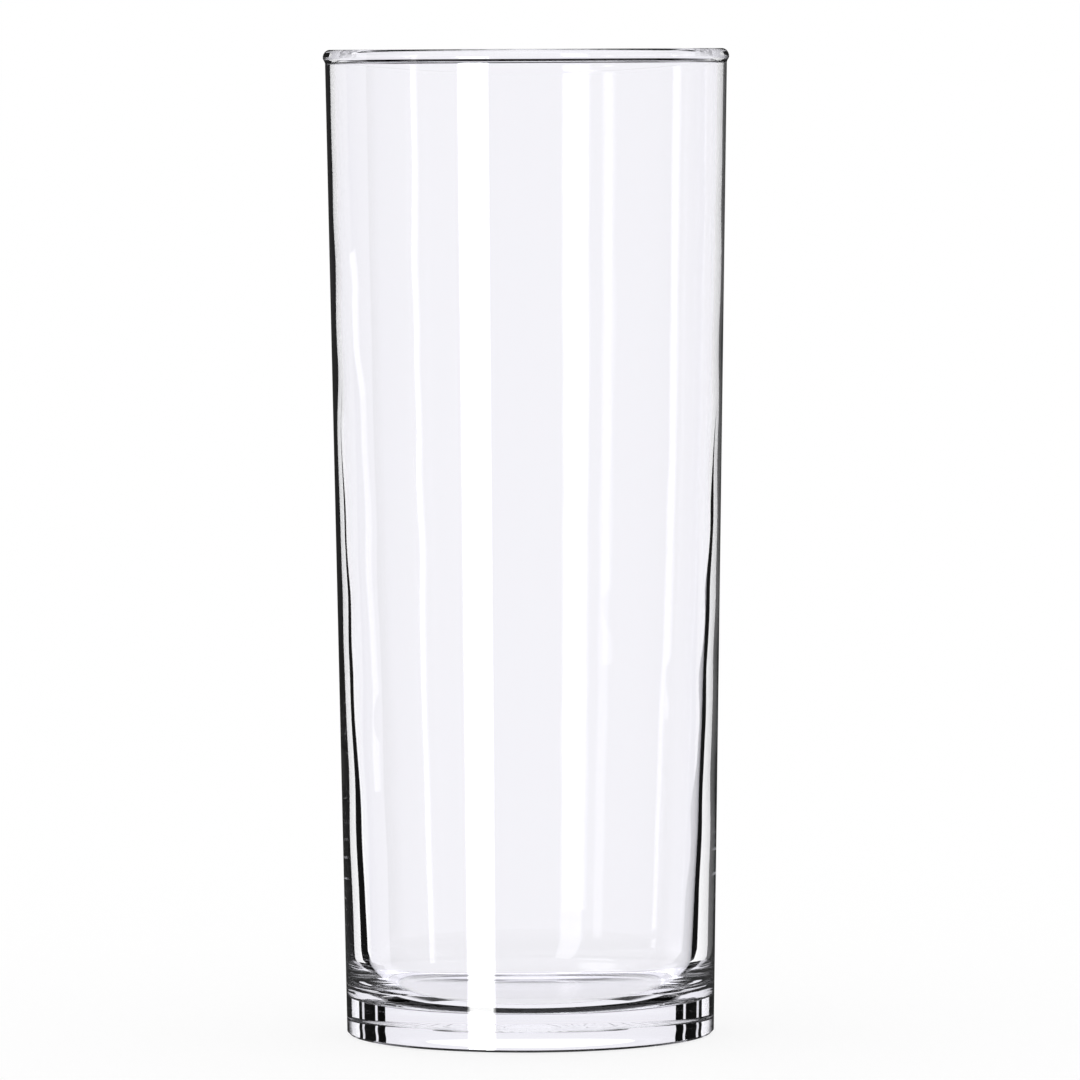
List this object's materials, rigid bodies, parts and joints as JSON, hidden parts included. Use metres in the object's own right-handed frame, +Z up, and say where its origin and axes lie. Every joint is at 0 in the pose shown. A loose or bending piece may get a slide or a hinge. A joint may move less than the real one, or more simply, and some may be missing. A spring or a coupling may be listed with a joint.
{
  "type": "zombie glass",
  "caption": "Tall, straight-sided clear drinking glass with a slight taper, a rounded beaded rim, a wall that thickens downwards and a heavy base, for long iced cocktails.",
  "frame": {"origin": "centre of the standing ring, on the surface that the glass rests on", "axes": "+Z up, along the axis that the glass is round about"},
  "size_m": [0.0654, 0.0654, 0.159],
  "materials": {
    "clear_glass": "clear and glossy, fire-polished"
  },
  "bodies": {
    "root": {"tumbler": "clear_glass"}
  },
  "joints": []
}
